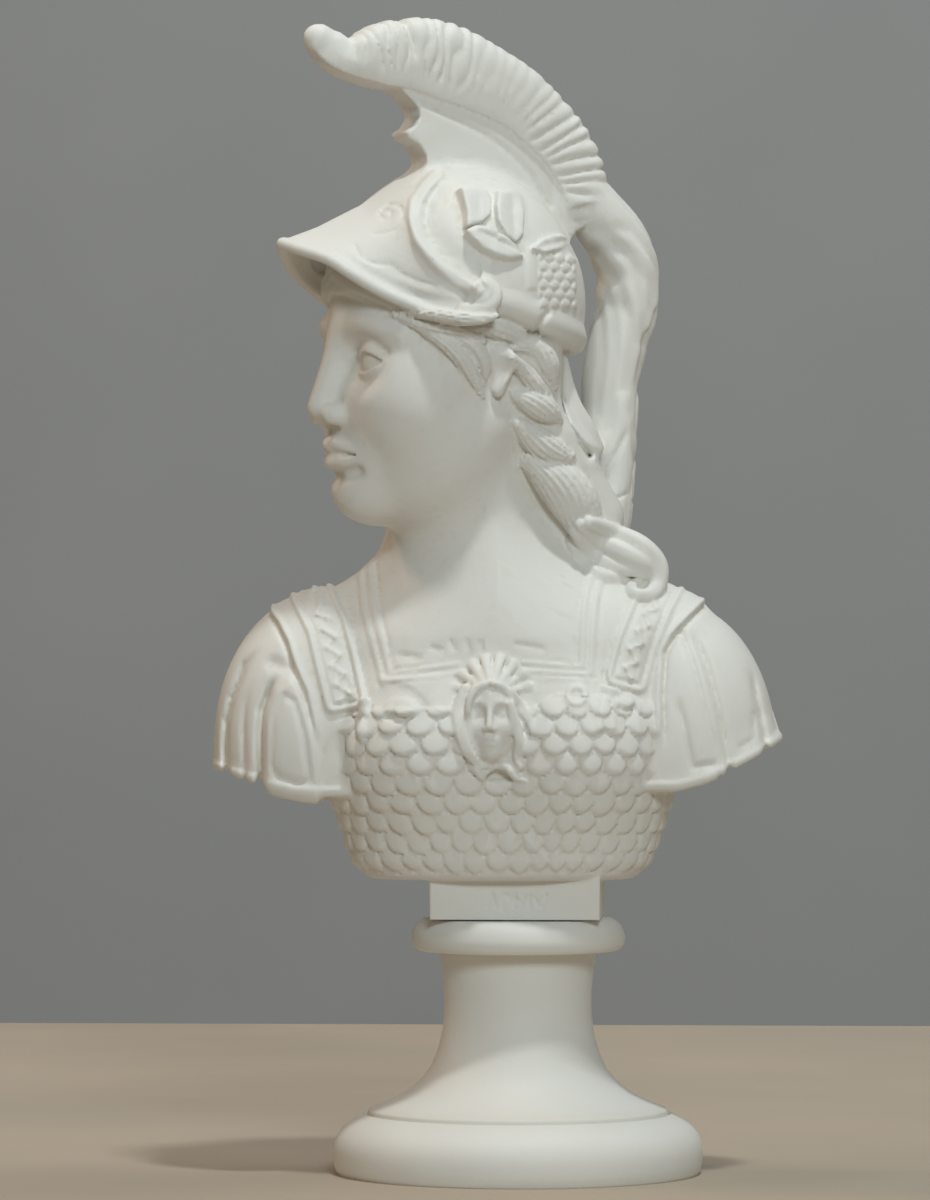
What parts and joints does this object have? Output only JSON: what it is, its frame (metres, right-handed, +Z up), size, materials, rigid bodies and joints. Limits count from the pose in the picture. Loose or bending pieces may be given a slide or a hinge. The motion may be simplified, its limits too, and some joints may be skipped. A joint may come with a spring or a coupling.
{
  "type": "helmeted goddess bust on a socle",
  "caption": "Table-size cast-marble bust of a helmeted goddess in scale armour, head turned aside, on a round turned socle.",
  "frame": {"origin": "middle of the socle's flat underside, on the axis of the turned socle", "axes": "+Z up along the socle's axis, the chest faces -Y, the figure's left arm is on +X"},
  "size_m": [0.117, 0.0766, 0.2394],
  "materials": {
    "bust": "matt white marble dust and resin, as cast, with a faint warm stain in the hollows",
    "socle": "matt white marble dust and resin, as cast and lightly rubbed smooth"
  },
  "bodies": {
    "root": {"bust": "bust", "socle": "socle"}
  },
  "joints": []
}
